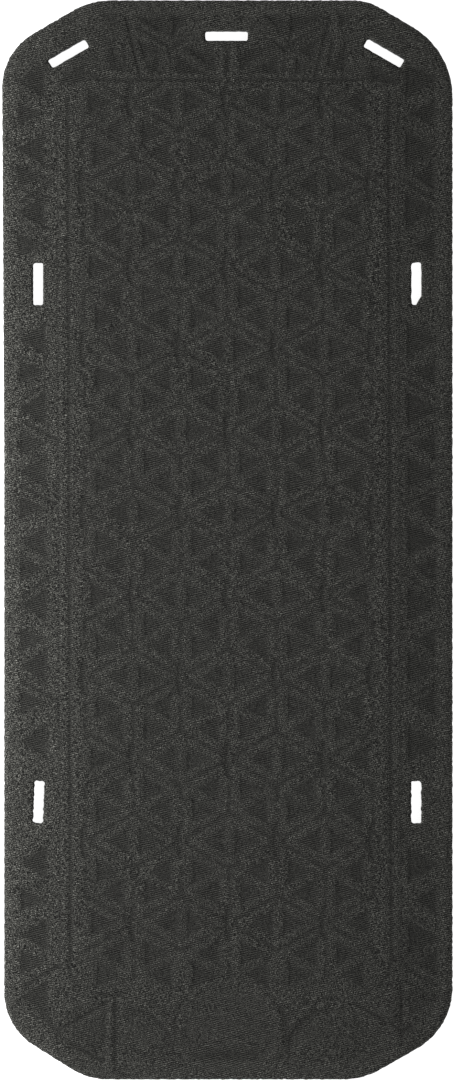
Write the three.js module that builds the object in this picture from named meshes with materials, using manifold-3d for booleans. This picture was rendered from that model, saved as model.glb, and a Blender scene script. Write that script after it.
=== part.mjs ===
// Central back protector for sport, a flat panel of two layers.
// A moulded impact core has triangular cells, open on its outer side, that leave diamond blocks between them.
// A knitted fabric is laminated on the side that is worn against the body. It sinks over each cell, and it is
// creased where three blocks meet.
// Millimetres. The panel lies on its outer side, so the fabric faces up: X runs across the back, Y from the
// waist to the shoulders, and Z towards the body. The origin is the middle of the underside.

import * as THREE from "three";
import { mergeVertices } from "three/addons/utils/BufferGeometryUtils.js";
import Module from "manifold-3d";

const wasm = await Module();
wasm.setup();

// Overall sizes
const length = 480;
const width = 200.6;
const coreThickness = 12;
const fabricThickness = 2;
const bondLine = 0.3; // adhesive film between the core and the fabric

// The thick middle of the panel, which the wings and flaps surround
const wingWidth = 28.4;
const topFlapLength = 35.4;
const bottomFlapLength = 40.4;
const wingDrop = 2; // how far the fabric side falls from the middle to each long edge
const flapDrop = 1.4; // the same, to each short edge
const flangeLift = 5; // height of the underside of the wings and flaps
const blockFlare = 3; // run of the slope between the underside of the middle and that of the wings
const blockCorner = 14; // cut across each corner of the middle

// Cut corners of the outline: where each chamfer leaves the short and the long edge, and its two radii
const corners = [
  { side: 1, end: -1, endSetback: 39.9, sideSetback: 22.7, endRadius: 33, sideRadius: 31 },
  { side: 1, end: 1, endSetback: 37.9, sideSetback: 22.3, endRadius: 24, sideRadius: 35.6 },
  { side: -1, end: 1, endSetback: 39.5, sideSetback: 22.8, endRadius: 34, sideRadius: 27.6 },
  { side: -1, end: -1, endSetback: 38.5, sideSetback: 23.3, endRadius: 30, sideRadius: 27.6 },
];
// Below this point of the left edge, counted from the top, the panel is cut a little narrower
const waist = { fromTop: 200, inset: 1, radius: 6000 };

// Strap slots: one at the top, two along the top chamfers and four in the wings
const slotLength = 18.8;
const slotWidth = 4.4;
const slotCornerRadius = 0.9;
const slotEdgeDistance = 15.7; // from the panel's edge to the middle of a slot
const chamferSlotAcross = 70.3; // from the middle of the panel to a chamfer slot
const chamferSlotAngle = 30;
const upperSlotFromTop = 126;
const lowerSlotFromBottom = 123.3;
const slotRemnant = { across: 2.2, along: 3.6 }; // left uncut in the lower corner of the upper right slot

// Cell pattern of the middle: nodes on a triangular grid, with six cells round each node
const nodePitch = 42.6;
const rowPitch = 36.5;
const firstRowDrop = 9.8; // from the top of the middle to the first row of nodes
const cellSide = 10.7;
const cellRib = 4.8; // between two cells that stand back to back
const cellWeb = 1.5; // floor that closes each cell on the fabric side
const borderRib = 6; // between the outermost cells and the side of the middle
const endRib = 1; // the same, at the ends of the middle

// Creases where the panel flexes
const creaseWidth = 3;
const creaseWeb = 2.6;
const creaseFloor = 0.3; // width left at the bottom of a crease
const spineHalfGap = 4.5; // half the gap in the top crease, where the spine rib passes

// How the fabric sinks
const cellSink = 0.9;
const nodeSink = 0.8;
const creaseSink = 0.7;
const badgeSink = 0.5;
const sinkSlope = 0.55; // how far a sink spreads to each side of the cell's wall
const nodeSinkRadius = 2.2;
const blockSink = 0.7; // where three blocks meet
const blockCreaseArm = 5.8;
const blockCreaseWaist = 0.95;
const fabricCreaseWidth = 1.6;

// Cells in the wings, from the top down. The height is a share of the length, counted from the top. A cell
// that points out has its base on the inner rib, and one that points in has it on the outer rib.
const wingCells = [
  { height: 0.075, pointsOut: true },
  { height: 0.105, pointsOut: false },
  { height: 0.137, pointsOut: true },
  { height: 0.162, pointsOut: false },
  { height: 0.196, pointsOut: true },
  { height: 0.226, pointsOut: false },
  { height: 0.313, pointsOut: true },
  { height: 0.346, pointsOut: false },
  { height: 0.38, pointsOut: true },
  { height: 0.413, pointsOut: false },
  { height: 0.439, pointsOut: true },
  { height: 0.47, pointsOut: false },
  { height: 0.502, pointsOut: true },
  { height: 0.526, pointsOut: false },
  { height: 0.56, pointsOut: true },
  { height: 0.593, pointsOut: false },
  { height: 0.618, pointsOut: true },
  { height: 0.65, pointsOut: false },
  { height: 0.688, pointsOut: true },
  { height: 0.801, pointsOut: true },
  { height: 0.834, pointsOut: false },
  { height: 0.868, pointsOut: true },
  { height: 0.892, pointsOut: false },
  { height: 0.924, pointsOut: true },
];
// Base and tip of those cells across the wing, as shares of its width from the crease, and the base's half
// height as a share of the wing's width
const outwardCell = { base: 0.28, tip: 0.71, halfBase: 0.21 };
const inwardCell = { base: 0.72, tip: 0.45, halfBase: 0.165 };

// Diagonal creases in the fabric of the wings. The height of each end is a share of the length, from the top.
const wingCreases = [
  { inner: 0.168, outer: 0.188 },
  { inner: 0.232, outer: 0.206 },
  { inner: 0.353, outer: 0.371 },
  { inner: 0.406, outer: 0.389 },
  { inner: 0.466, outer: 0.451 },
  { inner: 0.527, outer: 0.549 },
  { inner: 0.649, outer: 0.632 },
  { inner: 0.895, outer: 0.913 },
];
// Their ends across the wing, as shares of its width from the crease
const wingCreaseEnds = { inner: 0.18, outer: 0.7 };

// Cells in the top flap, mirrored to both sides. Across is a share of half the width, and up is a share of
// the flap's length above its crease.
const topFlapCells = [
  [{ across: 0.272, up: 0.811 }, { across: 0.41, up: 0.811 }, { across: 0.272, up: 0.591 }],
  [{ across: 0.151, up: 0.811 }, { across: 0.223, up: 0.811 }, { across: 0.223, up: 0.579 }],
  [{ across: 0.293, up: 0.352 }, { across: 0.376, up: 0.465 }, { across: 0.349, up: 0.239 }],
  [{ across: 0.285, up: 0.252 }, { across: 0.342, up: 0.126 }, { across: 0.285, up: 0.063 }],
  [{ across: 0.049, up: 0.352 }, { across: 0.174, up: 0.428 }, { across: 0.049, up: 0.151 }],
  [{ across: 0.209, up: 0.289 }, { across: 0.209, up: 0.063 }, { across: 0.089, up: 0.063 }],
  [{ across: 0.472, up: 0.811 }, { across: 0.535, up: 0.811 }, { across: 0.486, up: 0.654 }],
  [{ across: 0.512, up: 0.478 }, { across: 0.508, up: 0.126 }, { across: 0.437, up: 0.126 }],
  [{ across: 0.619, up: -0.07 }, { across: 0.619, up: 0.13 }, { across: 0.717, up: -0.07 }],
];
// Large triangles of the bottom flap, with the base towards the middle, in the same terms below its top
const bottomCell = { base: 0.552, tip: 0.71, middle: 0.5, halfBase: 0.26 };
// Bare round badge field and the quarter rounds beside it, as shares of the bottom flap's length
const badge = { middle: 0.465, radius: 0.5, cutOff: 0.81 };
const quarterRound = { across: 0.453, corner: 0.72, radius: 0.507 };

// Slanted creases of the top flap, in the terms of its cells
const slantedCrease = { lower: 0.387, upper: 0.45, rise: 0.78 };
const topCreaseReach = 0.577; // outer end of the top crease, as a share of half the width
const sideCreaseEnds = { top: 9, bottom: 12 }; // how far the side creases stop short of the middle's ends

// Colours
const fabricColour = 0x33332f;
const coreColour = 0x262626;

// Worked out from those sizes
const middleHalf = width / 2 - wingWidth;
const middleTop = length / 2 - topFlapLength;
const middleBottom = -length / 2 + bottomFlapLength;
const fabricRise = bondLine + fabricThickness;
const clear = 1; // how far a cutter passes the surface that it cuts
const point = (x, y) => new THREE.Vector2(x, y);

// Height of the core's fabric side: level over the middle, falling over the wings and flaps
function coreTop({ x, y }) {
  const overWing = Math.max(0, Math.abs(x) - middleHalf) / wingWidth;
  const overTop = Math.max(0, y - middleTop) / topFlapLength;
  const overBottom = Math.max(0, middleBottom - y) / bottomFlapLength;
  return coreThickness - Math.max(wingDrop * overWing, flapDrop * overTop, flapDrop * overBottom);
}

function solidOf(geometry) {
  const bare = geometry.clone();
  bare.deleteAttribute("normal");
  bare.deleteAttribute("uv");
  const merged = mergeVertices(bare, 1e-4);
  return new wasm.Manifold(
    new wasm.Mesh({
      numProp: 3,
      vertProperties: merged.attributes.position.array,
      triVerts: new Uint32Array(merged.index.array),
    }),
  );
}

function geometryOf(solid) {
  const { vertProperties, triVerts } = solid.getMesh();
  const geometry = new THREE.BufferGeometry();
  geometry.setAttribute("position", new THREE.BufferAttribute(vertProperties, 3));
  geometry.setIndex(new THREE.BufferAttribute(triVerts, 1));
  const faceted = geometry.toNonIndexed();
  faceted.computeVertexNormals();
  return faceted;
}

// Closed solid between a lower and an upper outline of as many corners, whose heights follow a function
function loft(lower, lowerHeight, upper, upperHeight) {
  if (THREE.ShapeUtils.isClockWise(upper)) {
    return loft([...lower].reverse(), lowerHeight, [...upper].reverse(), upperHeight);
  }
  const count = lower.length;
  const corners3 = [
    ...lower.flatMap((p) => [p.x, p.y, lowerHeight(p)]),
    ...upper.flatMap((p) => [p.x, p.y, upperHeight(p)]),
  ];
  const faces = THREE.ShapeUtils.triangulateShape(upper, []).flatMap(([a, b, c]) => [
    ...[a + count, b + count, c + count],
    ...[c, b, a],
  ]);
  for (let i = 0; i < count; i++) {
    const next = (i + 1) % count;
    faces.push(i, next, next + count, i, next + count, i + count);
  }
  const geometry = new THREE.BufferGeometry();
  geometry.setAttribute("position", new THREE.Float32BufferAttribute(corners3, 3));
  geometry.setIndex(faces);
  return solidOf(geometry);
}

// Closed cone from an outline down to a point under its middle
function pit(outline, height, floorHeight) {
  if (THREE.ShapeUtils.isClockWise(outline)) {
    return pit([...outline].reverse(), height, floorHeight);
  }
  const middle = middleOf(outline);
  const positions = [...outline, middle].flatMap((p) => [p.x, p.y, p === middle ? floorHeight : height(p)]);
  const sides = outline.flatMap((_, i) => [(i + 1) % outline.length, i, outline.length]);
  const geometry = new THREE.BufferGeometry();
  geometry.setAttribute("position", new THREE.Float32BufferAttribute(positions, 3));
  geometry.setIndex([...THREE.ShapeUtils.triangulateShape(outline, []).flat(), ...sides]);
  return solidOf(geometry);
}

const middleOf = (outline) =>
  outline.reduce((sum, p) => sum.add(p), point(0, 0)).divideScalar(outline.length);

// A small convex outline with its sides moved outwards, or inwards where spread is negative
function spreadOutline(outline, spread) {
  const centre = middleOf(outline);
  const toSide = outline.map((p, i) => {
    const along = outline[(i + 1) % outline.length].clone().sub(p).normalize();
    return Math.abs(along.cross(centre.clone().sub(p)));
  });
  const scale = Math.max(0.15, 1 + spread / Math.min(...toSide));
  return outline.map((p) => p.clone().sub(centre).multiplyScalar(scale).add(centre));
}

// Equilateral triangle with one corner towards the angle given
function triangle(centre, side, angle) {
  const reach = side / Math.sqrt(3);
  return [0, 1, 2].map((i) => {
    const turn = angle + (i * 2 * Math.PI) / 3;
    return point(centre.x + reach * Math.cos(turn), centre.y + reach * Math.sin(turn));
  });
}

// Narrow four-cornered outline along a line
function strip(from, to, stripWidth) {
  const side = to.clone().sub(from).normalize().multiplyScalar(stripWidth / 2);
  const across = point(-side.y, side.x);
  return [
    from.clone().sub(across),
    to.clone().sub(across),
    to.clone().add(across),
    from.clone().add(across),
  ];
}

// Shape with a rounded corner at each vertex, {x, y, radius}
function roundedShape(vertices) {
  const path = new THREE.Path();
  vertices.forEach((vertex, i) => {
    const here = point(vertex.x, vertex.y);
    const before = vertices[(i + vertices.length - 1) % vertices.length];
    const after = vertices[(i + 1) % vertices.length];
    const back = point(before.x, before.y).sub(here).normalize();
    const ahead = point(after.x, after.y).sub(here).normalize();
    const turnsInward = ahead.cross(back) < 0;
    const half = Math.acos(back.dot(ahead)) / 2;
    const centre = back.clone().add(ahead).normalize().multiplyScalar(vertex.radius / Math.sin(half)).add(here);
    const run = vertex.radius / Math.tan(half);
    const start = back.multiplyScalar(run).add(here).sub(centre);
    const finish = ahead.multiplyScalar(run).add(here).sub(centre);
    path.absarc(centre.x, centre.y, vertex.radius, start.angle(), finish.angle(), turnsInward);
  });
  return path;
}

function panelOutline() {
  const vertices = corners.flatMap(({ side, end, endSetback, sideSetback, endRadius, sideRadius }) => {
    const isWaisted = side < 0 && end < 0;
    const across = width / 2 - (isWaisted ? waist.inset : 0);
    const onSide = { x: side * across, y: end * (length / 2 - sideSetback), radius: sideRadius };
    const onEnd = { x: side * (width / 2 - endSetback), y: (end * length) / 2, radius: endRadius };
    if (isWaisted) {
      const turn = { x: -across, y: length / 2 - waist.fromTop, radius: waist.radius };
      return [turn, onSide, onEnd];
    }
    return side * end > 0 ? [onSide, onEnd] : [onEnd, onSide];
  });
  return roundedShape(vertices);
}

// Middle and angle of each strap slot
function slotPlaces() {
  const wingX = width / 2 - slotEdgeDistance;
  const upperY = length / 2 - upperSlotFromTop;
  const lowerY = -length / 2 + lowerSlotFromBottom;
  const angle = THREE.MathUtils.degToRad(chamferSlotAngle);
  const onChamfer = [-1, 1].map((side) => {
    const corner = corners.find((c) => c.side === side && c.end === 1);
    const chamferY = length / 2 - (chamferSlotAcross - width / 2 + corner.endSetback) * Math.tan(angle);
    const y = chamferY - slotEdgeDistance / Math.cos(angle);
    return { x: side * chamferSlotAcross, y, angle: -side * angle };
  });
  const inWings = [-1, 1].flatMap((side) =>
    [upperY, lowerY].map((y) => {
      const hasRemnant = side > 0 && y === upperY;
      return { x: side * wingX, y, angle: Math.PI / 2, hasRemnant };
    }),
  );
  return [{ x: 0, y: length / 2 - slotEdgeDistance, angle: 0 }, ...onChamfer, ...inWings];
}

function slotOutline({ x, y, angle, hasRemnant }) {
  const [along, across] = [slotLength / 2, slotWidth / 2];
  const nearCorner = hasRemnant
    ? [point(-along, slotRemnant.across - across), point(slotRemnant.along - along, -across)]
    : [point(-along, -across)];
  const slotCorners = [...nearCorner, point(along, -across), point(along, across), point(-along, across)];
  const placed = slotCorners.map((p) => p.rotateAround(point(0, 0), angle).add(point(x, y)));
  return roundedShape(placed.map((p) => ({ x: p.x, y: p.y, radius: slotCornerRadius })));
}

// The panel's outline with its slots, as a prism through the whole thickness
function panelPrism() {
  const shape = new THREE.Shape(panelOutline().getPoints(5));
  shape.holes = slotPlaces().map((place) => new THREE.Path(slotOutline(place).getPoints(1)));
  const depth = coreThickness + fabricRise + 2 * clear;
  const geometry = new THREE.ExtrudeGeometry(shape, { depth, bevelEnabled: false });
  return solidOf(geometry.translate(0, 0, -clear));
}

// Everything under the fabric side of the core, raised by rise: a level top with four sloping sides
function underRoof(rise) {
  const low = -2 * clear;
  const level = coreThickness + rise;
  const beyond = 1.5; // how far the slopes run on past the panel's edges, as a share of the wing or flap
  const profile = (start, startRun, startDrop, finish, finishRun, finishDrop) =>
    new THREE.Shape([
      point(start - beyond * startRun, low),
      point(finish + beyond * finishRun, low),
      point(finish + beyond * finishRun, level - beyond * finishDrop),
      point(finish, level),
      point(start, level),
      point(start - beyond * startRun, level - beyond * startDrop),
    ]);
  const across = new THREE.ExtrudeGeometry(
    profile(-middleHalf, wingWidth, wingDrop, middleHalf, wingWidth, wingDrop),
    { depth: 2 * length, bevelEnabled: false },
  );
  across.rotateX(Math.PI / 2).translate(0, length, 0);
  const along = new THREE.ExtrudeGeometry(
    profile(middleBottom, bottomFlapLength, flapDrop, middleTop, topFlapLength, flapDrop),
    { depth: 2 * width, bevelEnabled: false },
  );
  along.rotateX(Math.PI / 2).rotateZ(Math.PI / 2).translate(-width, 0, 0);
  return solidOf(across).intersect(solidOf(along));
}

// Grid nodes that can reach into the middle, with the offsets to their six neighbours
function gridNodes() {
  const rows = Math.ceil((middleTop - middleBottom) / rowPitch) + 1;
  const columns = Math.ceil(middleHalf / nodePitch) + 1;
  const nodes = [];
  for (let row = -1; row <= rows; row++) {
    const shift = row % 2 === 0 ? 0 : nodePitch / 2;
    for (let column = -columns; column <= columns; column++) {
      nodes.push(point(column * nodePitch + shift, middleTop - firstRowDrop - row * rowPitch));
    }
  }
  return nodes;
}
const neighbours = [
  point(nodePitch, 0),
  point(nodePitch / 2, rowPitch),
  point(-nodePitch / 2, rowPitch),
  point(-nodePitch, 0),
  point(-nodePitch / 2, -rowPitch),
  point(nodePitch / 2, -rowPitch),
];

const inMiddle = (p, acrossRib, lengthRib) =>
  Math.abs(p.x) <= middleHalf - acrossRib &&
  p.y <= middleTop - lengthRib &&
  p.y >= middleBottom + lengthRib;

// Six cells round each node, each pointing at the node, with their bases along the ribs between nodes
function middleCells() {
  const cells = gridNodes().flatMap((node) =>
    neighbours.map((offset) => {
      const reach = offset.length() / 2 - cellRib / 2 - cellSide / Math.sqrt(12);
      const centre = offset.clone().normalize().multiplyScalar(reach).add(node);
      return triangle(centre, cellSide, offset.angle() + Math.PI);
    }),
  );
  return cells.filter((cell) => cell.every((p) => inMiddle(p, borderRib, endRib)));
}

// Three-armed creases where three blocks meet, in the middle of each triangle of nodes. Its arms point at
// the nodes, and size is 1 at the level of the fabric.
function blockCreases(size) {
  const centres = gridNodes().flatMap((node) =>
    [0, 1].map((i) => ({
      centre: neighbours[i].clone().add(neighbours[i + 1]).divideScalar(3).add(node),
      angle: i === 0 ? Math.PI / 2 : -Math.PI / 2,
    })),
  );
  return centres
    .filter(({ centre }) => inMiddle(centre, borderRib, 0))
    .map(({ centre, angle }) =>
      [0, 1, 2, 3, 4, 5].map((i) => {
        const reach = size * (i % 2 === 0 ? blockCreaseArm : blockCreaseWaist);
        const turn = angle + (i * Math.PI) / 3;
        return point(centre.x + reach * Math.cos(turn), centre.y + reach * Math.sin(turn));
      }),
    );
}

const sinkNodes = () => gridNodes().filter((node) => inMiddle(node, borderRib, 0));

const mirrored = (outline) => [outline, outline.map((p) => point(-p.x, p.y))];

function wingCellOutlines() {
  return wingCells.flatMap(({ height, pointsOut }) => {
    const { base, tip, halfBase } = pointsOut ? outwardCell : inwardCell;
    const y = length / 2 - height * length;
    const baseX = middleHalf + base * wingWidth;
    const rise = halfBase * wingWidth;
    return mirrored([point(baseX, y - rise), point(middleHalf + tip * wingWidth, y), point(baseX, y + rise)]);
  });
}

const topFlapPoint = (across, up) => point((across * width) / 2, middleTop + up * topFlapLength);
const bottomFlapPoint = (across, down) => point((across * width) / 2, middleBottom - down * bottomFlapLength);

const topCellOutlines = () =>
  topFlapCells.flatMap((cell) => mirrored(cell.map(({ across, up }) => topFlapPoint(across, up))));

function bottomCellOutlines() {
  const { base, tip, middle, halfBase } = bottomCell;
  return mirrored([
    bottomFlapPoint(base, middle - halfBase),
    bottomFlapPoint(tip, middle),
    bottomFlapPoint(base, middle + halfBase),
  ]);
}

const cellOutlines = () => [
  ...middleCells(),
  ...wingCellOutlines(),
  ...topCellOutlines(),
  ...bottomCellOutlines(),
];

// Round badge field with its lower side cut off, and a quarter round on each side of it
function badgeOutlines() {
  const centre = bottomFlapPoint(0, badge.middle);
  const radius = badge.radius * bottomFlapLength;
  const drop = (badge.cutOff - badge.middle) * bottomFlapLength;
  const cut = Math.asin(drop / radius);
  const round = new THREE.Path().absarc(centre.x, centre.y, radius, -cut, Math.PI + cut, false);
  const corner = bottomFlapPoint(quarterRound.across, quarterRound.corner);
  const reach = quarterRound.radius * bottomFlapLength;
  const arc = new THREE.Path().absarc(corner.x, corner.y, reach, Math.PI / 2, Math.PI, false);
  return [round.getPoints(12), ...mirrored([corner, ...arc.getPoints(5)])];
}

// Straight creases: along both wings, across the top on each side of the spine rib, and two slanted ones
function creaseLines() {
  const sideTop = middleTop - sideCreaseEnds.top;
  const sideBottom = middleBottom + sideCreaseEnds.bottom;
  return [
    ...mirrored([point(middleHalf, sideBottom), point(middleHalf, sideTop)]),
    ...mirrored([point(spineHalfGap, middleTop), topFlapPoint(topCreaseReach, 0)]),
    ...mirrored([
      topFlapPoint(slantedCrease.lower, 0),
      topFlapPoint(slantedCrease.upper, slantedCrease.rise),
    ]),
  ];
}

const wingCreaseLines = () =>
  wingCreases.flatMap(({ inner, outer }) =>
    mirrored([
      point(middleHalf + wingCreaseEnds.inner * wingWidth, length / 2 - inner * length),
      point(middleHalf + wingCreaseEnds.outer * wingWidth, length / 2 - outer * length),
    ]),
  );

// The middle reaches down to the floor, and slopes up to the underside of the wings and flaps
function middleBlock() {
  const outlineAt = (run) => {
    const [x, top, bottom] = [middleHalf - blockFlare + run, middleTop + run, middleBottom - blockFlare - run];
    return [
      point(x, bottom + blockCorner),
      point(x, top - blockCorner),
      point(x - blockCorner, top),
      point(blockCorner - x, top),
      point(-x, top - blockCorner),
      point(-x, bottom + blockCorner),
      point(blockCorner - x, bottom),
      point(x - blockCorner, bottom),
    ];
  };
  return loft(outlineAt(0), () => 0, outlineAt(blockFlare), () => flangeLift);
}

function underFlange() {
  const height = flangeLift + clear;
  const slab = new THREE.BoxGeometry(2 * width, 2 * length, height);
  return solidOf(slab.translate(0, 0, flangeLift - height / 2)).subtract(middleBlock());
}

// Groove that narrows upwards from the core's underside
const grooveCutter = (from, to, grooveWidth, mouth, roof) =>
  loft(
    strip(from, to, grooveWidth * (1 + clear / roof)),
    () => mouth - clear,
    strip(from, to, creaseFloor),
    () => roof,
  );

function impactCore(prism) {
  const cells = cellOutlines().map((outline) => {
    const ceiling = Math.min(...outline.map(coreTop)) - cellWeb;
    return loft(outline, () => -clear, outline, () => ceiling);
  });
  const creases = creaseLines().map(([from, to]) => {
    const roof = Math.min(coreTop(from), coreTop(to)) - creaseWeb;
    return grooveCutter(from, to, creaseWidth, 0, roof);
  });
  const cutters = wasm.Manifold.union([underFlange(), ...cells, ...creases]);
  return prism.intersect(underRoof(0)).subtract(cutters);
}

function faceFabric(prism) {
  const surface = (p) => coreTop(p) + fabricRise;
  const above = (p) => surface(p) + clear;
  const sink = (outline, depth) => {
    const steepness = (2 * sinkSlope) / depth;
    const floor = spreadOutline(outline, -sinkSlope);
    const mouth = spreadOutline(outline, sinkSlope + clear * steepness);
    return loft(floor, (p) => surface(p) - depth, mouth, above);
  };
  const crease = (from, to) =>
    loft(
      strip(from, to, creaseFloor),
      (p) => surface(p) - creaseSink,
      strip(from, to, fabricCreaseWidth * (1 + clear / creaseSink)),
      above,
    );
  const dimple = (outline, depth) => pit(outline, above, surface(middleOf(outline)) - depth);
  const nodeReach = nodeSinkRadius * (1 + clear / nodeSink);
  const nodeOutline = (node) => new THREE.Path().absarc(node.x, node.y, nodeReach, 0, 2 * Math.PI);
  const sinks = [
    ...cellOutlines().map((outline) => sink(outline, cellSink)),
    ...sinkNodes().map((node) => dimple(nodeOutline(node).getPoints(3).slice(0, -1), nodeSink)),
    ...blockCreases(1 + clear / blockSink).map((outline) => dimple(outline, blockSink)),
    ...badgeOutlines().map((outline) => sink(outline, badgeSink)),
    ...[...creaseLines(), ...wingCreaseLines()].map(([from, to]) => crease(from, to)),
  ];
  const sheet = prism.intersect(underRoof(fabricRise)).subtract(underRoof(bondLine));
  return sheet.subtract(wasm.Manifold.union(sinks));
}

function layer(name, solid, colour, roughness) {
  const material = new THREE.MeshStandardMaterial({ color: colour, roughness, metalness: 0 });
  const mesh = new THREE.Mesh(geometryOf(solid), material);
  mesh.name = name;
  return mesh;
}

const prism = panelPrism();
const backProtector = new THREE.Group();
backProtector.add(layer("impact_core", impactCore(prism), coreColour, 0.8));
backProtector.add(layer("face_fabric", faceFabric(prism), fabricColour, 0.95));

export default backProtector;
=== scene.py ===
"""Central back protector: a moulded foam core under a laminated melange knit.

Sizes are in millimetres and match the CAD source. Meshes are turned into metres when they are made.
X runs across the back, Y up the spine, and Z out of the knitted face.
"""

import bpy
import numpy as np
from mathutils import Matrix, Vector
from mathutils.geometry import delaunay_2d_cdt


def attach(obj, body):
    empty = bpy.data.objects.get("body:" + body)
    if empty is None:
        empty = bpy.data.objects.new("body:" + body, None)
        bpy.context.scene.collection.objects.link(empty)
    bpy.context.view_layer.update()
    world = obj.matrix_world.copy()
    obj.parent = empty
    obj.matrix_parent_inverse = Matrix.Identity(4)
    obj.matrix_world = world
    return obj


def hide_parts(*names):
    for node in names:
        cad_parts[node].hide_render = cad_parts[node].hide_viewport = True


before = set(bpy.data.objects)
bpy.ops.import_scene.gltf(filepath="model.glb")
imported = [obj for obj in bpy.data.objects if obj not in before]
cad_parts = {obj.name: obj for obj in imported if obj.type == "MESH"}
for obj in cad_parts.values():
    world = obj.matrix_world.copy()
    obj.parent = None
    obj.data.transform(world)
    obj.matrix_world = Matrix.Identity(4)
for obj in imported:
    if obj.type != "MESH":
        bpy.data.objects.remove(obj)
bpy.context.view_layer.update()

MM = 0.001

# Overall sizes
LENGTH = 480.0
WIDTH = 200.6
CORE_THICKNESS = 12.0
KNIT_THICKNESS = 2.0
BOND_LINE = 0.3
WING_WIDTH = 28.4
TOP_FLAP = 35.4
BOTTOM_FLAP = 40.4
WING_DROP = 3.0
FLAP_DROP = 1.4
FLANGE_LIFT = 5.0
BLOCK_FLARE = 3.0
BLOCK_CORNER = 14.0

MIDDLE_HALF = WIDTH / 2 - WING_WIDTH
MIDDLE_TOP = LENGTH / 2 - TOP_FLAP
MIDDLE_BOTTOM = BOTTOM_FLAP - LENGTH / 2
KNIT_RISE = BOND_LINE + KNIT_THICKNESS

# Corners of the outline, anticlockwise: x, y and radius
WAIST_INSET = 1.0
OUTLINE = np.array([
    (WIDTH / 2 - 39.9, -LENGTH / 2, 33.0),
    (WIDTH / 2, 22.7 - LENGTH / 2, 31.0),
    (WIDTH / 2, LENGTH / 2 - 22.3, 35.6),
    (WIDTH / 2 - 37.9, LENGTH / 2, 24.0),
    (39.5 - WIDTH / 2, LENGTH / 2, 34.0),
    (-WIDTH / 2, LENGTH / 2 - 22.8, 27.6),
    (WAIST_INSET - WIDTH / 2, LENGTH / 2 - 200, 6000.0),
    (WAIST_INSET - WIDTH / 2, 23.3 - LENGTH / 2, 27.6),
    (38.5 - WIDTH / 2, -LENGTH / 2, 30.0),
])

# Strap slots: middle, angle in degrees, how ragged the cut is, and the size of a remnant left in it
SLOT_LENGTH = 18.8
SLOT_WIDTH = 4.4
SLOT_RADIUS = 0.9
SLOTS = [
    {"x": -0.3, "y": 224.15, "angle": 0, "ragged": 0.05},
    {"x": -70.6, "y": 216.3, "angle": 30, "ragged": 0.05},
    {"x": 69.75, "y": 216.55, "angle": -30, "ragged": 0.05},
    {"x": -84.1, "y": 113.85, "angle": 90, "ragged": 0.06},
    {"x": 84.15, "y": 114.0, "angle": 90, "ragged": 0.1, "remnant": (2.4, 4.0)},
    {"x": -83.85, "y": -116.6, "angle": 87.8, "ragged": 0.14},
    {"x": 84.1, "y": -116.7, "angle": 90, "ragged": 0.16},
]

# Cell pattern of the middle
NODE_PITCH = 42.6
ROW_PITCH = 36.5
FIRST_ROW_DROP = 9.8
CELL_SIDE = 10.7
CELL_RIB = 4.8
CELL_WEB = 1.5
GROOVE_WIDTH = 3.0
GROOVE_WEB = 2.6
BORDER_RIB = 6.0
END_RIB = 1.0
CREASE_LEFT = 0.45  # how far the blocks' creases stand to the left of the nodes

# Cells in the wings: share of the length from the top, on the left and on the right, and whether the tip
# points out
WING_CELLS = [
    (0.075, 0.074, True), (0.105, 0.105, False), (0.138, 0.137, True), (0.163, 0.163, False),
    (0.196, 0.194, True), (0.227, 0.227, False), (0.314, 0.314, True), (0.344, 0.345, False),
    (0.378, 0.379, True), (0.41, 0.412, False), (0.437, 0.438, True), (0.47, 0.469, False),
    (0.502, 0.5, True), (0.526, 0.527, False), (0.56, 0.559, True), (0.592, 0.593, False),
    (0.617, 0.618, True), (0.65, 0.651, False), (0.687, 0.689, True), (0.799, 0.801, True),
    (0.833, 0.834, False), (0.866, 0.869, True), (0.891, 0.892, False), (0.923, 0.924, True),
]
# Their base, tip and half base as shares of the wing's width, on the left and on the right
OUTWARD_CELL = {-1: (0.345, 0.72, 0.235), 1: (0.268, 0.715, 0.258)}
INWARD_CELL = {-1: (0.739, 0.39, 0.164), 1: (0.708, 0.394, 0.196)}

# Cells in the top flap, mirrored: across as a share of half the width, up as a share of the flap
TOP_CELLS = [
    [(0.279, 0.811), (0.417, 0.811), (0.279, 0.591)],
    [(0.169, 0.811), (0.241, 0.811), (0.241, 0.579)],
    [(0.313, 0.383), (0.396, 0.496), (0.369, 0.27)],
    [(0.305, 0.277), (0.362, 0.151), (0.305, 0.088)],
    [(0.058, 0.327), (0.183, 0.403), (0.058, 0.126)],
    [(0.223, 0.306), (0.223, 0.09), (0.103, 0.09)],
    [(0.492, 0.823), (0.555, 0.823), (0.506, 0.666)],
    [(0.527, 0.478), (0.523, 0.126), (0.452, 0.126)],
    [(0.639, -0.02), (0.639, 0.18), (0.737, -0.02)],
]
BOTTOM_CELL = {"base": 0.552, "tip": 0.71, "middle": 0.5, "half_base": 0.26}

# Round field and quarter rounds of the bottom flap
ROUND_DEPTH = 0.16
FIELD = {"y": -218.4, "radius": 20.3, "cut_off": -232.4, "rib_out": 2.1, "groove_out": 4.2}
FIELD_DIP = np.array([(-13, -231.6), (13, -231.6), (12, -226.4), (-12, -226.4)])
QUARTER = {"x": 45.4, "y": -228.7, "radius": 20.5, "rib_out": 2.0, "groove_out": 4.6}

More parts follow.
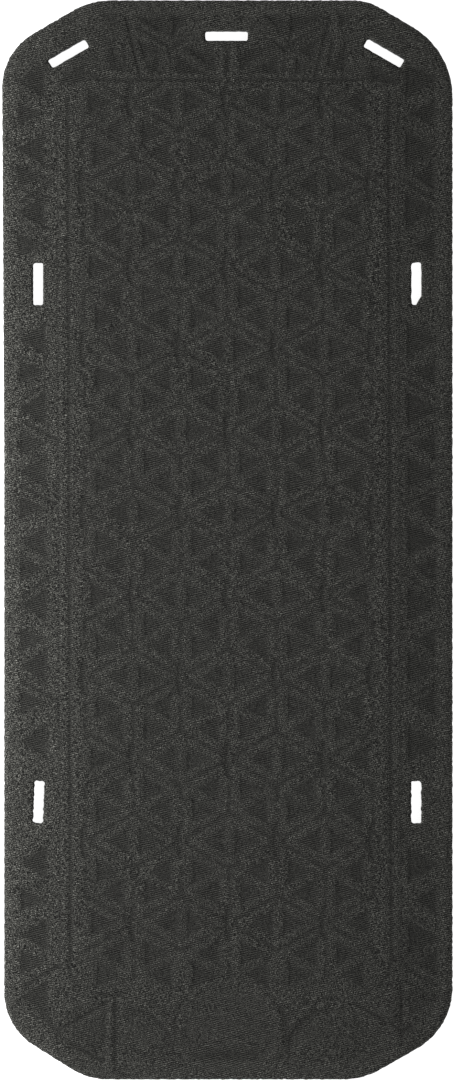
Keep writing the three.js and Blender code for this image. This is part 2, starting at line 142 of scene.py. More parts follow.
# Creases: ends in mm, depth and half width. The main ones also show as open grooves on the underside. Those
# of the wings run from fold to rim: side, inner and outer end as shares of the length from the top, and depth
MAIN_CREASES = [
    (-71.1, MIDDLE_BOTTOM + 12, -71.1, MIDDLE_TOP - 9, 0.2, 0.65),
    (71.6, MIDDLE_BOTTOM + 12, 71.6, MIDDLE_TOP - 9, 0.22, 0.75),
    (-57.9, MIDDLE_TOP, -4.5, MIDDLE_TOP, 0.43, 0.8),
    (4.5, MIDDLE_TOP, 57.9, MIDDLE_TOP, 0.41, 0.8),
    (-38.8, MIDDLE_TOP + 0.8, -45.1, MIDDLE_TOP + 27.6, 0.45, 0.75),
    (38.8, MIDDLE_TOP + 0.8, 45.1, MIDDLE_TOP + 27.6, 0.29, 0.75),
]
WING_CREASES = [
    (-1, 0.166, 0.186, 0.12), (-1, 0.2284, 0.2024, 0.06), (-1, 0.3516, 0.3696, 0.09),
    (-1, 0.407, 0.39, 0.18), (-1, 0.4665, 0.4515, 0.18), (-1, 0.5295, 0.5515, 0.12),
    (-1, 0.6484, 0.6314, 0.12), (-1, 0.895, 0.913, 0.18),
    (1, 0.1649, 0.1849, 0.11), (1, 0.232, 0.206, 0.05), (1, 0.3494, 0.3674, 0.14),
    (1, 0.407, 0.39, 0.14), (1, 0.4675, 0.4525, 0.15), (1, 0.5295, 0.5515, 0.14),
    (1, 0.6506, 0.6336, 0.11), (1, 0.895, 0.913, 0.11),
]
WING_CREASE_WIDTH = 0.7
BLOCK_CREASE = (0.12, 0.8)
SMALL_CREASES = [
    (76.1, 193.0, 76.1, -189.0, 0.06, 0.5), (-75.9, 193.0, -75.9, -189.0, 0.06, 0.5),
    (25.8, 218.4, 30.7, 222.4, 0.24, 0.7), (-25.5, 218.7, -30.4, 222.7, 0.36, 0.7),
    (25.5, 218.0, 20.6, 221.6, 0.44, 0.7), (-25.5, 218.0, -20.6, 221.6, 0.17, 0.7),
    (24.9, 218.4, 24.9, 206.5, 0.08, 0.6), (-25.4, 218.4, -25.4, 206.5, 0.09, 0.6),
    (39.6, 227.7, 33.8, 224.1, 0.36, 0.7), (-39.6, 227.7, -33.8, 224.1, 0.26, 0.7),
    (52.4, 226.8, 51.5, 213.4, 0.08, 0.6), (-51.0, 227.0, -50.1, 213.6, 0.08, 0.6),
    (46.3, 220.2, 45.0, 210.8, 0.32, 0.7), (-46.7, 220.1, -45.4, 210.7, 0.22, 0.7),
    (0.0, 217.1, 0.0, 208.5, 0.32, 0.7),
    (69.9, -214.6, 54.8, -205.7, 0.22, 0.7), (-69.9, -214.6, -54.8, -205.7, 0.38, 0.7),
    (71.2, -224.6, 57.0, -232.6, 0.08, 0.75), (-70.8, -223.8, -56.6, -231.8, 0.45, 0.75),
    (49.9, -205.1, 49.9, -231.8, 0.04, 0.7), (-51.2, -205.1, -51.2, -231.8, 0.14, 0.7),
    (79.9, -216.4, 75.9, -219.1, 0.24, 0.7), (-79.7, -216.0, -75.7, -218.7, 0.38, 0.7),
    (70.8, -214.9, 75.7, -218.0, 0.17, 0.6), (-71.0, -214.5, -75.9, -217.6, 0.24, 0.6),
    (76.1, -218.0, 76.1, -222.9, 0.16, 0.6), (-77.0, -218.0, -77.0, -222.9, 0.26, 0.6),
    (71.2, -187.2, 69.9, -193.9, 0.21, 0.65), (-72.1, -187.4, -70.8, -194.1, 0.24, 0.65),
    (69.5, -193.6, 66.4, -198.1, 0.14, 0.65), (-69.9, -193.9, -66.8, -198.4, 0.1, 0.65),
    (61.2, -201.5, 55.9, -202.8, 0.24, 0.6), (-61.1, -201.0, -55.8, -202.3, 0.18, 0.6),
    (76.0, -198.0, 76.0, -213.5, 0.3, 0.7),
]
# Raised ribs, in the same terms with a negative depth
RIBS = [
    (53.6, -206.4, 53.6, -237.0, -0.12, 1.2), (-53.2, -206.4, -53.2, -237.0, -0.38, 1.2),
    (4.3, 217.5, 4.3, 206.0, -0.38, 0.9), (-2.2, 217.5, -2.2, 206.0, -0.36, 0.9),
    (48.4, 233.0, 50.2, 205.5, -0.31, 1.0), (-74.0, 193.0, -74.0, -189.0, -0.12, 1.0),
]


# The moulding lies askew in its cut outline: how far the pattern stands to the right, by height
LEAN_AT = [-240, -170, -121, -72, -23, 26, 75, 123, 172, 215, 240]
LEAN = [1.5, 1.5, 1.28, 1.2, 1.17, 1.1, 0.9, 0.45, 0.1, 0.35, 0.35]


def lean(y):
    """How far the pattern stands to the right at a height, in straight lines between the rows' averages."""
    return np.interp(y, LEAN_AT, LEAN)


def askew(points):
    """Points of the straight pattern, moved to where they stand in the askew moulding."""
    points = np.array(points, dtype=float)
    points[..., 0] += lean(points[..., 1])
    return points


def roof_drop(x, y, blend):
    """How far the face has fallen, in mm: the larger of two ramps, over the wings and over the flaps. A ramp
    over a width is (t + root of t squared and blend squared) / 2, where t runs outwards from the fold. So
    blend rounds the fold, and it moves the fold inwards by 0.75 of itself. The wings' fall is steepest at the
    fold: 1 less the ramp's rest to the power 1.2."""
    inwards = 0.75 * blend
    areas = [
        (np.abs(x - lean(y)) - MIDDLE_HALF, WING_WIDTH),
        (y - MIDDLE_TOP, TOP_FLAP),
        (MIDDLE_BOTTOM - y, BOTTOM_FLAP),
    ]
    ramps = []
    for outwards, width in areas:
        t = outwards + inwards
        ramps.append((t + np.sqrt(t * t + blend * blend)) / 2 / (width + inwards))
    wing = 1 - np.abs(1 - ramps[0]) ** 1.2
    return np.maximum(WING_DROP * wing, FLAP_DROP * np.maximum(ramps[1], ramps[2]))


def core_top(x, y):
    """Height of the core's fabric side: its thickness less the fall over the wings and flaps."""
    return CORE_THICKNESS - roof_drop(x, y, 0.0)


def ease(t):
    """Smooth step from 0 at t = -1 to 1 at t = 1."""
    s = np.clip((t + 1) / 2, 0, 1)
    return s * s * (3 - 2 * s)


def bell(away, width):
    """exp(-(away / width) squared): 1 on a line and near 0 at twice the width from it."""
    return np.exp(-((away / width) ** 2))


def rounded_loop(corners, step):
    """Closed anticlockwise outline. At each corner (x, y, radius) runs the arc that touches both sides,
    and the sides between the arcs are straight. Points are at most step apart."""
    runs = []
    ends = []
    for i, (x, y, radius) in enumerate(corners):
        here = np.array([x, y])
        back = corners[i - 1][:2] - here
        ahead = corners[(i + 1) % len(corners)][:2] - here
        back, ahead = back / np.linalg.norm(back), ahead / np.linalg.norm(ahead)
        half = np.arccos(np.clip(back @ ahead, -1, 1)) / 2
        middle = here + (back + ahead) / np.linalg.norm(back + ahead) * radius / np.sin(half)
        start, finish = (here + radius / np.tan(half) * way - middle for way in (back, ahead))
        turn = np.arctan2(start[0] * finish[1] - start[1] * finish[0], start @ finish)
        count = max(3, int(np.ceil(abs(turn) * radius / step)) + 1)
        angles = np.arctan2(start[1], start[0]) + np.linspace(0, turn, count)
        runs.append(middle + radius * np.stack([np.cos(angles), np.sin(angles)], axis=1))
    for here, after in zip(runs, runs[1:] + runs[:1]):
        count = max(1, int(np.ceil(np.linalg.norm(after[0] - here[-1]) / step)))
        share = np.arange(1, count)[:, None] / count
        ends.append(here[-1] * (1 - share) + after[0] * share)
    return np.vstack([points for pair in zip(runs, ends) for points in pair])


def outward(loop):
    """Unit normals of an anticlockwise loop: the direction from the point before to the one after, turned
    a quarter turn clockwise."""
    along = np.roll(loop, -1, axis=0) - np.roll(loop, 1, axis=0)
    along /= np.linalg.norm(along, axis=1)[:, None]
    return np.stack([along[:, 1], -along[:, 0]], axis=1)


def ragged(loop, amount, seed):
    """Moves each point along its normal by a sum of five sine waves of the distance round the loop, with
    wavelengths of 2 to 9 mm, so that a cut edge wanders by about the amount given."""
    steps = np.linalg.norm(np.roll(loop, -1, axis=0) - loop, axis=1)
    around = np.cumsum(steps) / steps.sum()
    draw = np.random.default_rng(seed)
    waves = np.maximum(1, np.round(steps.sum() / draw.uniform(2, 9, 5)))
    wander = np.sin(2 * np.pi * (around[:, None] * waves + draw.uniform(0, 1, 5))).sum(axis=1) / 2
    return loop + outward(loop) * (amount * wander)[:, None]


def slot_loop(slot, seed):
    """A slot's outline: a long box with small radii, turned and placed. A remnant of the cut, where there is
    one, fills its lower outer corner."""
    along, across = SLOT_LENGTH / 2, SLOT_WIDTH / 2
    corners = [(along, -across), (along, across), (-along, across)]
    if "remnant" in slot:
        left, up = slot["remnant"]
        corners += [(-along, left - across), (up - along, -across)]
    else:
        corners += [(-along, -across)]
    angle = np.radians(slot["angle"])
    turn = np.array([[np.cos(angle), np.sin(angle)], [-np.sin(angle), np.cos(angle)]])
    placed = np.array(corners) @ turn + (slot["x"], slot["y"])
    radii = np.full((len(placed), 1), SLOT_RADIUS)
    return ragged(rounded_loop(np.hstack([placed, radii]), 0.7), slot["ragged"], seed)


def grid_nodes():
    """Nodes on a triangular grid: rows one row pitch apart, each second row shifted by half a pitch."""
    rows = np.arange(-1, 14)
    columns = np.arange(-3, 4)
    row, column = (part.ravel() for part in np.meshgrid(rows, columns, indexing="ij"))
    x = column * NODE_PITCH + np.where(row % 2, NODE_PITCH / 2, 0)
    return np.stack([x, MIDDLE_TOP - FIRST_ROW_DROP - row * ROW_PITCH], axis=1)


NEIGHBOURS = np.array([
    (NODE_PITCH, 0), (NODE_PITCH / 2, ROW_PITCH), (-NODE_PITCH / 2, ROW_PITCH),
    (-NODE_PITCH, 0), (-NODE_PITCH / 2, -ROW_PITCH), (NODE_PITCH / 2, -ROW_PITCH),
])


def in_middle(points, across_rib, length_rib):
    """Whether points lie in the middle, inside its ribs along the sides and at the ends."""
    x, y = points[..., 0], points[..., 1]
    fits = np.abs(x) <= MIDDLE_HALF - across_rib
    return fits & (y <= MIDDLE_TOP - length_rib) & (y >= MIDDLE_BOTTOM + length_rib)


def middle_cells():
    """Six triangles round each node. Each points at the node, with its base along the rib half way to a
    neighbour. Those that don't fit in the middle are left out."""
    nodes = grid_nodes()
    reach = np.linalg.norm(NEIGHBOURS, axis=1) / 2 - CELL_RIB / 2 - CELL_SIDE / np.sqrt(12)
    angles = np.arctan2(NEIGHBOURS[:, 1], NEIGHBOURS[:, 0])
    ways = np.stack([np.cos(angles), np.sin(angles)], axis=1)
    centres = nodes[:, None] + reach[:, None] * ways
    turns = angles[:, None] + np.pi + np.arange(3) * 2 * np.pi / 3
    tips = CELL_SIDE / np.sqrt(3) * np.stack([np.cos(turns), np.sin(turns)], axis=-1)
    cells = (centres[:, :, None] + tips[None]).reshape(-1, 3, 2)
    return cells[in_middle(cells, BORDER_RIB, END_RIB).all(axis=1)]


def anticlockwise(corners):
    """The corners in anticlockwise order, by the sign of the area they enclose."""
    corners = np.array(corners, dtype=float)
    after = np.roll(corners, -1, axis=0)
    area = (corners[:, 0] * after[:, 1] - after[:, 0] * corners[:, 1]).sum()
    return corners if area > 0 else corners[::-1]


def mirrored(corners):
    """The same outline on both sides of the spine, each anticlockwise."""
    return [anticlockwise(corners), anticlockwise(np.array(corners) * (-1, 1))]


def wing_cells():
    """One column of triangles in each wing, whose tips point out or in."""
    cells = []
    for left, right, points_out in WING_CELLS:
        for side, height in ((-1, left), (1, right)):
            base, tip, rise = (OUTWARD_CELL if points_out else INWARD_CELL)[side]
            y = LENGTH / 2 - height * LENGTH
            base, tip = (side * (MIDDLE_HALF + share * WING_WIDTH) for share in (base, tip))
            corners = [(base, y - rise * WING_WIDTH), (tip, y), (base, y + rise * WING_WIDTH)]
            cells.append(anticlockwise(corners))
    return cells


def flap_cells():
    """The irregular triangles of the top flap and the two of the bottom flap."""
    cells = []
    for cell in TOP_CELLS:
        cells += mirrored([(across * WIDTH / 2, MIDDLE_TOP + up * TOP_FLAP) for across, up in cell])
    base, tip, middle, half = (BOTTOM_CELL[key] for key in ("base", "tip", "middle", "half_base"))
    rows = [(base, middle - half), (tip, middle), (base, middle + half)]
    cells += mirrored([(across * WIDTH / 2, MIDDLE_BOTTOM - down * BOTTOM_FLAP) for across, down in rows])
    return cells


def block_creases():
    """Creases between the diamond blocks, on each line from a node to the middle of a triangle of nodes: a
    ray from the node's dimple, a dash half way and an arm of the three-armed crease at the middle."""
    nodes = grid_nodes()
    middles = (NEIGHBOURS + np.roll(NEIGHBOURS, -1, axis=0)) / 3
    pieces = [(0.18, 0.32), (0.485, 0.595), (0.785, 1.0)]
    creases = []
    for node in nodes[in_middle(nodes, BORDER_RIB - 1, 0)] - (CREASE_LEFT, 0):
        for way in middles:
            for start, finish in pieces:
                ends = np.array([node + start * way, node + finish * way])
                if in_middle(ends, BORDER_RIB - 4, 2).all():
                    creases.append((*ends[0], *ends[1], *BLOCK_CREASE))
    return creases


def wing_creases():
    """The slanting creases of the wings, from 18% to 70% of the wing's width."""
    creases = []
    for side, inner, outer, depth in WING_CREASES:
        ends = []
        for share, height in ((0.18, inner), (0.7, outer)):
            ends += [side * (MIDDLE_HALF + share * WING_WIDTH), LENGTH / 2 - height * LENGTH]
        creases.append((*ends, depth, WING_CREASE_WIDTH))
    return creases


def skewed(strokes):
    """Strokes with both ends moved to where they stand in the askew moulding."""
    return [(*askew([stroke[:2], stroke[2:4]]).ravel(), *stroke[4:]) for stroke in strokes]


CELLS = [askew(cell) for cell in [*middle_cells(), *wing_cells(), *flap_cells()]]
# How strongly each cell shows in the knit: 1 for all but the last ones, which are the lowest wing cell on the
# right, those of the top flap in pairs, and those of the bottom flap
LAST_SHOW = [0.5, *np.repeat([1.5, 1.5, 1.5, 1.5, 1.5, 1.5, 0.8, 0.8, 1.3], 2), 0.3, 0.45]
CELL_SHOWS = [1.0] * (len(CELLS) - len(LAST_SHOW)) + LAST_SHOW
MAIN_GROOVES = skewed(MAIN_CREASES)
CREASES = MAIN_GROOVES + skewed(block_creases() + SMALL_CREASES + wing_creases() + RIBS)
NODES = askew([node for node in grid_nodes() if in_middle(node, BORDER_RIB - 1, 0)])

CELL_SINK = 0.06
CELL_SAG = 0.26
CELL_EDGE = 0.45  # where the middle of the cell's slope is, outside its outline
CELL_SLOPE = 0.6
SAG_SLOPE = 0.8
RING_SINK = 0.42
RING_WIDTH = 1.15
RING_ACROSS, RING_UP = 2.0, 6.1  # half axes of the oval groove round a node
RING_RIGHT = 0.35  # how far it stands to the right of the node
FULLY_PRESSED_AND_SHADED = 0.12  # depth from which a crease counts as fully pressed into the knit and fully darkened with painted shade
FACE_BLEND = 4.5
WING_RAKING_LIGHT = (0.25, -0.35)  # painted raking light: how smooth the grain is drawn on the right and left wing, so that the left wing, which faces the key light, shows stronger and slightly paler grain
SMOOTH_FLAPS = (0.4, 0.3)  # how smooth the knit lies on the top and bottom flap
SMOOTH_ROUNDS = (0.7, 0.5)  # and for the round field and the quarter rounds


def side_distance(x, y, corners):
    """Distance outside an anticlockwise convex outline, negative inside: the smooth maximum of the
    distances to its sides, which rounds its corners."""
    along = np.roll(corners, -1, axis=0) - corners
    along /= np.linalg.norm(along, axis=1)[:, None]
    sides = [(x - px) * ay - (y - py) * ax for (px, py), (ax, ay) in zip(corners, along)]
    sharp = 9.0
    return np.log(np.exp(np.clip(sharp * np.array(sides), -60, 60)).sum(axis=0)) / sharp


def line_distance(x, y, stroke):
    """Distance to a straight stroke, from the nearest point on it."""
    x1, y1, x2, y2 = stroke[:4]
    run = np.hypot(x2 - x1, y2 - y1)
    along = np.clip(((x - x1) * (x2 - x1) + (y - y1) * (y2 - y1)) / run**2, 0, 1)
    return np.hypot(x - x1 - along * (x2 - x1), y - y1 - along * (y2 - y1))


def rounds(x, y):
    """Sink of the round forms of the bottom flap, and a mask of how hard the mould presses them, which
    darkens
    their grooves and dips: partly for yarn flattened by the mould and partly as painted shade in the hollows.
    The round field is a flat dish inside its radius and above its cut, with a rib round it, higher on the
    right, and round that a groove, deeper on the left. Each quarter round is a dish inside its radius, on the
    spine's side of its corner and above it, with a groove along its edge, a rib round it and a groove round
    that."""
    above = ease((y - FIELD["cut_off"]) / 0.8)
    x = x - lean(y)
    right = ease((x + 4) / 12)
    out = np.hypot(x, y - FIELD["y"]) - FIELD["radius"]
    groove = bell(out - FIELD["groove_out"], 0.8) * above
    dip = ease(-side_distance(x, y, FIELD_DIP) / 1.6)
    sink = ROUND_DEPTH * ease(-out / 1.1) * above
    sink = sink - (0.08 + 0.2 * right) * bell(out - FIELD["rib_out"], 1.1) * above
    sink = sink + (0.24 - 0.18 * right) * groove + 0.15 * dip
    # Painted shade: this mask darkens the knit in the grooves and dips of the round forms, partly for yarn
    # flattened by the mould.
    pressed_and_shade = np.maximum(0.5 * groove, 0.7 * dip)
    out = np.hypot(np.abs(x) - QUARTER["x"], y - QUARTER["y"]) - QUARTER["radius"]
    within = ease((QUARTER["x"] + 1 - np.abs(x)) / 0.8) * ease((y - QUARTER["y"]) / 0.8)
    edge = bell(out + 0.4, 0.75) * within
    outer = bell(out - QUARTER["groove_out"], 0.6) * within
    sink = sink + ROUND_DEPTH * (ease(-out / 0.7) - bell(out - QUARTER["rib_out"], 1.0)) * within
    return sink + ROUND_DEPTH * edge + 0.1 * outer, np.maximum(pressed_and_shade, np.maximum(edge, 0.5 * outer))


def relief(x, y):
    """Sink of the knit under the roof in mm, and at each point a mask from 0 to 1 of how hard the mould
    presses it, which darkens the knit: partly for yarn flattened by the mould and partly as painted shade in
    the cells, creases, node rings and round forms. Over a cell it eases down to the cell's depth and sags on,
    most towards its upright side. Round a node runs an upright oval groove, deeper on the left. A crease is a
    groove of depth times the bell of the distance over its width, and a rib is the same with a negative
    depth."""
    sink, pressed_and_shade = rounds(x, y)
    over, ribs = np.zeros_like(x), np.zeros_like(x)
    for node in NODES:
        across, up = x - node[0] - RING_RIGHT, y - node[1]
        near = np.flatnonzero((np.abs(across) < RING_ACROSS + 3) & (np.abs(up) < RING_UP + 3))
        across, up = across[near], up[near]
        away = RING_ACROSS * (np.hypot(across / RING_ACROSS, up / RING_UP) - 1)
        right = ease(across / 1.5)
        share = 1 - right + 0.7 * right * bell(up, 3.2)
        ring = share * bell(away, RING_WIDTH)
        sink[near] = np.maximum(sink[near], RING_SINK * ring)
        # Painted shade: the ring darkens the knit round each node, most on its left.
        pressed_and_shade[near] = np.maximum(pressed_and_shade[near], np.minimum(1.3 * ring, 1))
    for corners, shows in zip(CELLS, CELL_SHOWS):
        middle = corners.mean(axis=0)
        reach = np.linalg.norm(corners - middle, axis=1).max() + 2
        near = np.flatnonzero((np.abs(x - middle[0]) < reach) & (np.abs(y - middle[1]) < reach))
        away = side_distance(x[near], y[near], corners)
        tip = corners[np.abs(corners[:, 1] - middle[1]).argmin(), 0]
        along = np.clip((x[near] - tip) / (middle[0] - tip) / 1.5, 0, 1)
        share = ease((CELL_EDGE - away) / CELL_SLOPE)
        sag = CELL_SAG * along * ease((-0.1 - away) / SAG_SLOPE)
        sink[near] = np.maximum(sink[near], shows * (CELL_SINK * share + sag))
        # Painted shade: each cell's outline darkens the knit inside it.
        over[near] = np.maximum(over[near], min(shows, 1) * share)
    for stroke in CREASES:
        x1, y1, x2, y2, depth, wide = stroke
        reach = 3 * wide
        near = (x > min(x1, x2) - reach) & (x < max(x1, x2) + reach)
        near = np.flatnonzero(near & (y > min(y1, y2) - reach) & (y < max(y1, y2) + reach))
        shape = bell(line_distance(x[near], y[near], stroke), wide)
        groove = depth * shape
        if depth > 0:
            sink[near] = np.maximum(sink[near], groove)
            # Painted shade: a crease darkens the knit along it, the more the deeper it runs; ribs get none.
            share = np.minimum(1.3 * shape, 1) * min(depth / FULLY_PRESSED_AND_SHADED, 1)
            pressed_and_shade[near] = np.maximum(pressed_and_shade[near], share)
        else:
            ribs[near] = np.minimum(ribs[near], groove)
    return sink + ribs * (1 - over), np.maximum(over, pressed_and_shade)


def smoothness_and_wing_light(x, y, pressed_and_shade):
    """How smoothly the knit lies, and on the wings painted raking light: 1 where the mould presses the knit,
    0 on the middle, above 0 on the flaps, their round forms and the right wing, and below 0 on the left wing,
    which the key light strikes at a slant, so that its grain shows stronger and slightly paler."""
    x = x - lean(y)
    right, left = ease((x - MIDDLE_HALF) / 4), ease((-x - MIDDLE_HALF) / 4)
    # Painted raking light: the left wing's grain is drawn rougher and the right wing's smoother, because the
    # key light falls from the left.
    wing = WING_RAKING_LIGHT[0] * right + WING_RAKING_LIGHT[1] * left
    top, bottom = ease((y - MIDDLE_TOP) / 2), ease((MIDDLE_BOTTOM - y) / 6)
    flap = SMOOTH_FLAPS[0] * top + SMOOTH_FLAPS[1] * bottom
    field = ease(FIELD["radius"] - np.hypot(x, y - FIELD["y"]))
    quarter = ease(QUARTER["radius"] - np.hypot(np.abs(x) - QUARTER["x"], y - QUARTER["y"]))
    quarter = quarter * (np.abs(x) < QUARTER["x"])
    round_form = np.maximum(SMOOTH_ROUNDS[0] * field, SMOOTH_ROUNDS[1] * quarter)
    unpressed = np.where(flap > wing, np.maximum(flap, round_form) + np.minimum(wing, 0), wing)
    return unpressed + (1 - unpressed) * pressed_and_shade


def swell(x, y):
    """Slow unevenness of the face: four crossing sine waves of 30 to 90 mm, 0.05 mm high each."""
    draw = np.random.default_rng(7)
    height = np.zeros_like(x)
    for _ in range(4):
        angle, wave, phase = draw.uniform(0, np.pi), draw.uniform(30, 90), draw.uniform(0, 2 * np.pi)
        height += 0.05 * np.sin(2 * np.pi * (x * np.cos(angle) + y * np.sin(angle)) / wave + phase)
    return height


def face_height(x, y):
    """Height of the knit's face: the roof with rounded folds, the slow swell, less the relief and less a
    slight fall in the rim, which grows with the square of the way into it."""
    sink, pressed_and_shade = relief(x, y)
    fall = RIM_FALL * np.maximum(1 - edge_distance(np.stack([x, y], axis=1)) / RIM, 0) ** 2
    roof = CORE_THICKNESS + KNIT_RISE - roof_drop(x, y, FACE_BLEND)
    return roof + swell(x, y) - 0.1 - sink - fall, pressed_and_shade


def spread(corners, distance, radius):
    """Corners for rounded_loop: a convex outline with its sides moved outwards by distance."""
    back = np.roll(corners, 1, axis=0) - corners
    ahead = np.roll(corners, -1, axis=0) - corners
    back /= np.linalg.norm(back, axis=1)[:, None]
    ahead /= np.linalg.norm(ahead, axis=1)[:, None]
    way = back + ahead
    way /= np.linalg.norm(way, axis=1)[:, None]
    half = np.arccos(np.clip((back * ahead).sum(axis=1), -1, 1)) / 2
    moved = corners - way * (distance / np.sin(half))[:, None]
    return np.hstack([moved, np.full((len(corners), 1), radius)])


def inner_radius(corners):
    """Distance from a convex outline's middle to its nearest side."""
    middle = corners.mean(axis=0)
    return -side_distance(middle[:1], middle[1:], corners)[0]


FACE_PITCH = 2.1  # between points of the plain face
FIELD_RINGS = (-0.9, -0.3, 0.3, 0.9, 1.6, 2.3, 3.1, 3.7, 4.2, 4.8, 5.6)
QUARTER_RINGS = (-0.7, -0.2, 0.3, 0.8, 1.4, 2.0, 2.7, 3.6, 4.2, 4.6, 5.0, 5.6)


def face_points():
    """Points of the face, dense where it bends: loops round each cell, rows along each crease, rings round
    the round field and the quarter rounds, and a plain grid between them."""
    rows = []
    for corners in CELLS:
        room = inner_radius(corners)
        for offset in (0.6, 0.2, -0.2, -0.6, -1.3):
            if offset > -0.8 * room:
                rows.append(rounded_loop(spread(corners, offset, max(0.25, 0.4 + offset)), 0.9))
        rows.append(corners.mean(axis=0)[None])
    for x1, y1, x2, y2, _, wide in CREASES:
        run = np.hypot(x2 - x1, y2 - y1)
        share = np.linspace(0, 1, int(np.ceil(run / 1.1)) + 1)[:, None]
        centre = np.array([(x1, y1)]) * (1 - share) + np.array([(x2, y2)]) * share
        side = np.array([(y1 - y2, x2 - x1)]) / run
        rows += [centre + side * offset for offset in (0, 0.75 * wide, -0.75 * wide, 1.8 * wide, -1.8 * wide)]
    turns = np.arange(24) * np.pi / 12
    for share in (0.3, 0.65, 0.82, 1.0, 1.18, 1.4, 1.75):
        ring = share * np.stack([RING_ACROSS * np.cos(turns), RING_UP * np.sin(turns)], axis=1)
        rows.append((NODES[:, None] + (RING_RIGHT, 0) + ring).reshape(-1, 2))
    for radius in FIELD["radius"] + np.array(FIELD_RINGS):
        angles = np.linspace(0, 2 * np.pi, int(2 * np.pi * radius / 1.1))
        rows.append(askew(np.stack([radius * np.cos(angles), FIELD["y"] + radius * np.sin(angles)], axis=1)))
    for side in (-1, 1):
        for radius in QUARTER["radius"] + np.array(QUARTER_RINGS):
            angles = np.linspace(np.pi / 2, np.pi, int(np.pi / 2 * radius / 1.1))
            across = side * (QUARTER["x"] + radius * np.cos(angles))
            rows.append(askew(np.stack([across, QUARTER["y"] + radius * np.sin(angles)], axis=1)))
    features = thinned(np.vstack(rows), 0.36)
    columns = np.arange(-WIDTH / 2, WIDTH / 2, FACE_PITCH)
    x, y = np.meshgrid(columns, np.arange(-LENGTH / 2, LENGTH / 2, FACE_PITCH * 0.87))
    x = x + np.where(np.arange(len(x)) % 2, FACE_PITCH / 2, 0)[:, None]
    grid = np.stack([x.ravel(), y.ravel()], axis=1)
    taken = near_points(features, grid, 0.95)
    return np.vstack([features, grid[~taken]])


def thinned(points, size):
    """One point from each square of the given size: the first one in the list."""
    squares = np.floor(points / size).astype(int)
    _, first = np.unique(squares, axis=0, return_index=True)
    return points[np.sort(first)]


def near_points(points, others, size):
    """Whether each of the others lies in a square that holds one of the points, or next to one."""
    low = np.minimum(points.min(axis=0), others.min(axis=0)) - 2 * size
    place = ((points - low) / size).astype(int)
    asked = ((others - low) / size).astype(int)
    held = np.zeros(np.maximum(place.max(axis=0), asked.max(axis=0)) + 3, dtype=bool)
    held[place[:, 0], place[:, 1]] = True
    wide = held.copy()
    for across in (-1, 0, 1):
        for along in (-1, 0, 1):
            wide |= np.roll(held, (across, along), axis=(0, 1))
    return wide[asked[:, 0], asked[:, 1]]


def inside_loop(points, loop, margin):
    """Points inside a loop that is crossed twice by each level line, by margin or more: x lies between the
    loop's left and right side at the same y."""
    grown = loop - margin * outward(loop)
    top, bottom = grown[:, 1].argmax(), grown[:, 1].argmin()
    loop_on = np.vstack([grown, grown])
    right = loop_on[bottom:bottom + (top - bottom) % len(grown) + 1]
    left = loop_on[top:top + (bottom - top) % len(grown) + 1][::-1]
    x, y = points[:, 0], points[:, 1]
    within = (y > grown[bottom, 1]) & (y < grown[top, 1])
    return within & (x > np.interp(y, left[:, 1], left[:, 0])) & (x < np.interp(y, right[:, 1], right[:, 0]))


def outside_slots(points, margin):
    """Points outside every slot by margin or more, measured in the slot's own directions."""
    free = np.ones(len(points), dtype=bool)
    for slot in SLOTS:
        angle = np.radians(slot["angle"])
        x, y = points[:, 0] - slot["x"], points[:, 1] - slot["y"]
        along = np.abs(x * np.cos(angle) + y * np.sin(angle)) - SLOT_LENGTH / 2
        across = np.abs(y * np.cos(angle) - x * np.sin(angle)) - SLOT_WIDTH / 2
        free &= np.maximum(along, across) > margin
    return free


def filled(outline, holes, inside):
    """Delaunay triangles between an outline and its holes, through the points inside. Returns all the
    points, loops first, and the triangles, anticlockwise."""
    loops = [outline, *holes]
    starts = np.cumsum([0] + [len(loop) for loop in loops])
    faces = [list(range(a, b)) for a, b in zip(starts[:-1], starts[1:])]
    points = np.vstack([*loops, inside])
    made = delaunay_2d_cdt(list(map(Vector, points.tolist())), [], faces, 0, 1e-7, True)
    source = np.array([came[0] if came else -1 for came in made[3]])
    triangles = source[np.array([face for face, held in zip(made[2], made[5]) if held == [0]])]
    if (triangles < 0).any():
        raise ValueError("two loops of a face cross each other")
    return points, triangles


def strip(starts, count, flip):
    """Quads between loops of count points each, which start at the given numbers, one after another."""
    here = np.arange(count)
    after = (here + 1) % count
    bands = [np.stack([a + here, b + here, b + after, a + after], axis=1) for a, b in zip(starts, starts[1:])]
    quads = np.vstack(bands)
    return quads[:, ::-1] if flip else quads


class Body:
    """Collects the points and faces of one closed mesh."""

    def __init__(self):
        self.points, self.faces, self.count = [], [], 0

    def add(self, xy, z):
        """Adds points at the heights z and returns the number of the first one."""
        first = self.count
        self.points.append(np.column_stack([xy, np.broadcast_to(z, len(xy))]))
        self.count += len(xy)
        return first

    def piece(self, name):
        """Makes the object, in metres at the origin."""
        mesh = bpy.data.meshes.new(name)
        faces = [face for block in self.faces for face in block.tolist()]
        mesh.from_pydata((np.vstack(self.points) * MM).tolist(), [], faces)
        mesh.polygons.foreach_set("use_smooth", np.ones(len(mesh.polygons), dtype=bool))
        mesh.validate()
        made = bpy.data.objects.new(name, mesh)
        bpy.context.scene.collection.objects.link(made)
        return made


RIM = 7.9  # width of the paler rim
RIM_FALL = 0.4
EDGE = ragged(rounded_loop(OUTLINE, 1.2), 0.1, 3)
SLOT_EDGES = [slot_loop(slot, 20 + i) for i, slot in enumerate(SLOTS)]

# How the knit rounds over into the cut of the edge and of the slots: distance from the cut and fall
EDGE_STEPS = [(3.4, 0.0), (2.4, 0.06), (1.5, 0.2), (0.8, 0.45), (0.3, 0.76), (0.05, 1.05), (0.0, 1.25)]
SLOT_STEPS = [(1.5, 0.0), (0.8, 0.08), (0.35, 0.3), (0.08, 0.6), (0.0, 0.95)]


